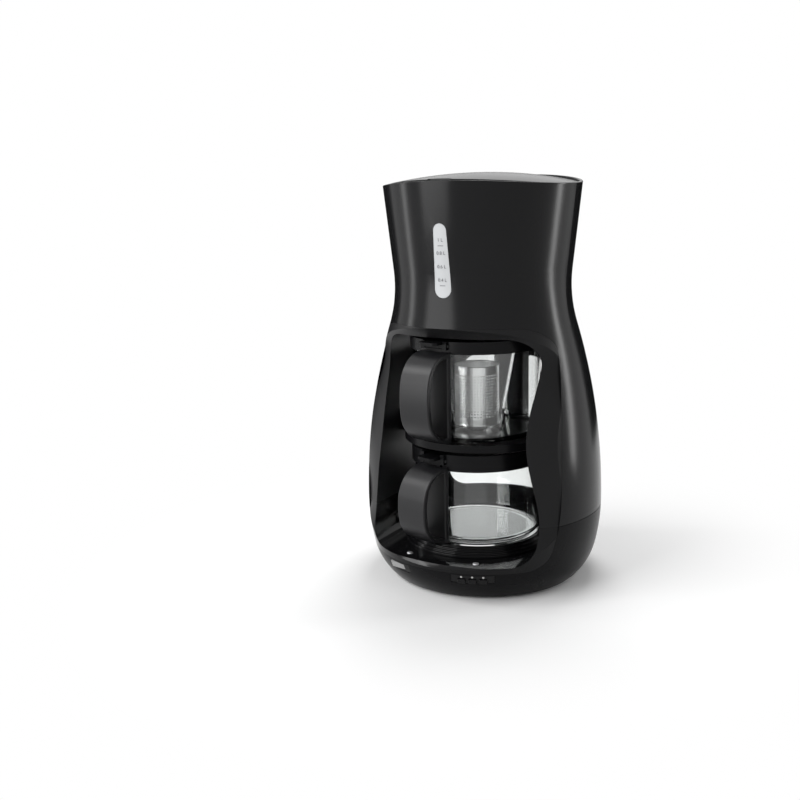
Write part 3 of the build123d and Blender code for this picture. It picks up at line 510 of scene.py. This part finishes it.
sheet = bmesh.new()
row_height = (SIEVE_HIGH - SIEVE_LOW - 2 * BAND) / HOLE_ROWS
rows = [SIEVE_LOW + BAND + row_height * row for row in range(HOLE_ROWS + 1)]
heights = [SIEVE_LOW] + rows + [SIEVE_HIGH]
tube = spun(sheet, [(SIEVE_R, height) for height in heights], HOLES_ROUND)
low_hole, high_hole = SIEVE_LOW + BAND, SIEVE_HIGH - BAND
holes = [f for f in tube if low_hole < f.calc_center_median().z < high_hole]
bmesh.ops.inset_individual(sheet, faces=holes, thickness=WIRE, use_even_offset=True)
bmesh.ops.delete(sheet, geom=holes, context="FACES_ONLY")
print("sieve holes:", len(holes))

# %% [markdown]
# ## The sieve's floor
# The floor is a plain disc of the same sheet, a little above the foot. It is spun from a line
# of short steps that stops just before the axis, because a point on the axis would be spun
# into many points in one place. The small opening left there, the pole, gets one face.

# %% Spin the sieve's floor
FLOOR_HEIGHT = 0.0125
RING_STEP = 0.0022
FLOOR_RINGS = 10
circles = [(SIEVE_R - RING_STEP * ring, FLOOR_HEIGHT) for ring in range(FLOOR_RINGS)]
disc = spun(sheet, circles, HOLES_ROUND)
inner_radius = circles[-2][0]
pole = [
    e for e in sheet.edges
    if e.is_boundary and max(v.co.xy.length for v in e.verts) < inner_radius
]
bmesh.ops.holes_fill(sheet, edges=pole)
print("sieve floor:", len(disc), "faces and one over the pole")

# %% [markdown]
# ## Thickness and beads
# So far the sieve is a skin. Its normals are made to agree first, because the thickness grows
# along them. A cut edge of sheet steel would scratch, so the rim and the foot are rolled into
# beads, each a small circle spun round the sieve.

# %% Thicken the sheet and roll its beads
SHEET_THICKNESS = 0.0004
BEAD_CORNERS = 8
BEAD_STEPS = 72
BEADS = (
    (SIEVE_R - 0.0002, SIEVE_HIGH, 0.0006),
    (SIEVE_R, SIEVE_LOW + 0.0016, 0.0007),
)
MERGE_NEAR = 0.00001
bmesh.ops.recalc_face_normals(sheet, faces=sheet.faces[:])
bmesh.ops.solidify(sheet, geom=sheet.faces[:], thickness=SHEET_THICKNESS)
for radius, top, bead in BEADS:
    corners = [math.radians(360 / BEAD_CORNERS * corner) for corner in range(BEAD_CORNERS)]
    circle = [
        (radius + bead * math.cos(turn), top - bead + bead * math.sin(turn)) for turn in corners
    ]
    rolled = spun(sheet, circle, BEAD_STEPS, closed=True)
    bmesh.ops.recalc_face_normals(sheet, faces=rolled)
bmesh.ops.remove_doubles(sheet, verts=sheet.verts[:], dist=MERGE_NEAR)
sheet.transform(SIEVE_PLACE)
sieve = made("fine_sieve", sheet, sieve_steel)
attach(sieve, "brew_jug")
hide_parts("infuser_sieve")

# %% [markdown]
# ## The scale on the level window
# The window carries a printed scale in litres, with a short line for the fullest and the
# lowest level. Print has no thickness to speak of, so it could be painted in the material,
# but letters keep sharp edges as geometry. Each number is a text object turned into a mesh
# and laid on the window, where a ray cast from the front finds the window's face. The ray
# runs a hair beside the middle, so that it doesn't meet the edge between two triangles.

# %% Find the window's face
RAY_X = 0.0005
RAY_Y = -1
SLOPE_REACH = 0.002
PRINT_LIFT = 0.00008


def front_of_window(height):
    """Where the middle of the window's face lies at a height."""
    start, backwards = Vector((RAY_X, RAY_Y, height)), Vector((0, 1, 0))
    _, spot, _, _ = nodes["level_window"].ray_cast(start, backwards)
    return spot


def on_window(height):
    """A placement on the window: X to the right, Y up along the face and Z outwards."""
    above, below = front_of_window(height + SLOPE_REACH), front_of_window(height - SLOPE_REACH)
    up = (above - below).normalized()
    right = Vector((1, 0, 0))
    out = right.cross(up)
    spot = (above + below) / 2 + out * PRINT_LIFT
    turn = Matrix((right, up, out)).transposed().to_4x4()
    return Matrix.Translation((0, spot.y, spot.z)) @ turn


# %% Print the scale
GAUGE_MARKS = {0.3166: "1 L", 0.3055: "0.8 L", 0.2939: "0.6 L", 0.2824: "0.4 L"}
GAUGE_LINES = (0.3118, 0.2777)
LETTER_SIZE = 0.0042
LETTER_DEPTH = 0.00004
STROKE = (0.0052, 0.0005, 0.00008)
scale = bmesh.new()
for height, words in GAUGE_MARKS.items():
    letters = bpy.data.curves.new("gauge_letters", "FONT")
    letters.body = words
    letters.size = LETTER_SIZE
    letters.align_x = "CENTER"
    letters.align_y = "CENTER"
    letters.extrude = LETTER_DEPTH
    letters.resolution_u = 3
    flat = bpy.data.objects.new("gauge_letters", letters)
    printed = bpy.data.meshes.new_from_object(flat)
    printed.transform(on_window(height))
    scale.from_mesh(printed)
    bpy.data.objects.remove(flat)
for height in GAUGE_LINES:
    stroke = bmesh.ops.create_cube(scale, size=1.0)["verts"]
    bmesh.ops.scale(scale, vec=STROKE, verts=stroke)
    bmesh.ops.transform(scale, matrix=on_window(height), verts=stroke)
gauge = made("gauge_scale", scale, gauge_ink)
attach(gauge, "housing")

# %% [markdown]
# ## Rivets in the tray
# Two small metal rivets hold the tray down at the front. A rivet head is a shallow dome with
# a rounded foot, which is a short profile spun round its own axis. The spin leaves a hole at
# the crown and one at the foot, and a face fills each.

# %% Set the rivets
RIVET_X = 0.033
RIVET_Y = -0.0888
TRAY_TOP = 0.0346
RIVET_PROFILE = (
    (0.0029, -0.0001), (0.0029, 0.0003), (0.0025, 0.0008), (0.0017, 0.0011), (0.0006, 0.0013),
)
RIVET_STEPS = 32
heads = bmesh.new()
for side in (-1, 1):
    before = set(heads.verts)
    spun(heads, RIVET_PROFILE, RIVET_STEPS)
    bmesh.ops.holes_fill(heads, edges=[e for e in heads.edges if e.is_boundary])
    added = [v for v in heads.verts if v not in before]
    bmesh.ops.translate(heads, vec=(side * RIVET_X, RIVET_Y, TRAY_TOP), verts=added)
bmesh.ops.recalc_face_normals(heads, faces=heads.faces[:])
rivets = made("tray_rivets", heads, cast_metal)
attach(rivets, "housing")

# %% [markdown]
# ## The ribbed ring round the plate
# The moulded steps round the plate catch thin lines of light, because no moulded edge is
# perfectly sharp. The engineering solid has sharp steps, so a copy of it is merged, its flat
# triangles are dissolved into whole faces, and its sharp edges are bevelled. Its faces are
# shaded flat, because the bevel already makes the edges round.

# %% Round the ribs
SAME_POINT = 0.000002
FLAT_ENOUGH = math.radians(1.0)
SHARP_FROM = math.radians(35)
RIB_ROUNDING = 0.0004
ribs = bmesh.new()
ribs.from_mesh(nodes["plate_ring"].data)
bmesh.ops.remove_doubles(ribs, verts=ribs.verts[:], dist=SAME_POINT)
bmesh.ops.dissolve_limit(
    ribs, angle_limit=FLAT_ENOUGH, verts=ribs.verts[:], edges=ribs.edges[:]
)
sharp = [e for e in ribs.edges if len(e.link_faces) == 2 and e.calc_face_angle() > SHARP_FROM]
bmesh.ops.bevel(
    ribs, geom=sharp, offset=RIB_ROUNDING, segments=2, profile=0.5, affect="EDGES",
    material=-1, clamp_overlap=True,
)
for face in ribs.faces:
    face.smooth = False
print("rounded edges:", len(sharp))
ring = made("plate_ring_soft", ribs, tray_black)
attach(ring, "housing")
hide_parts("plate_ring")
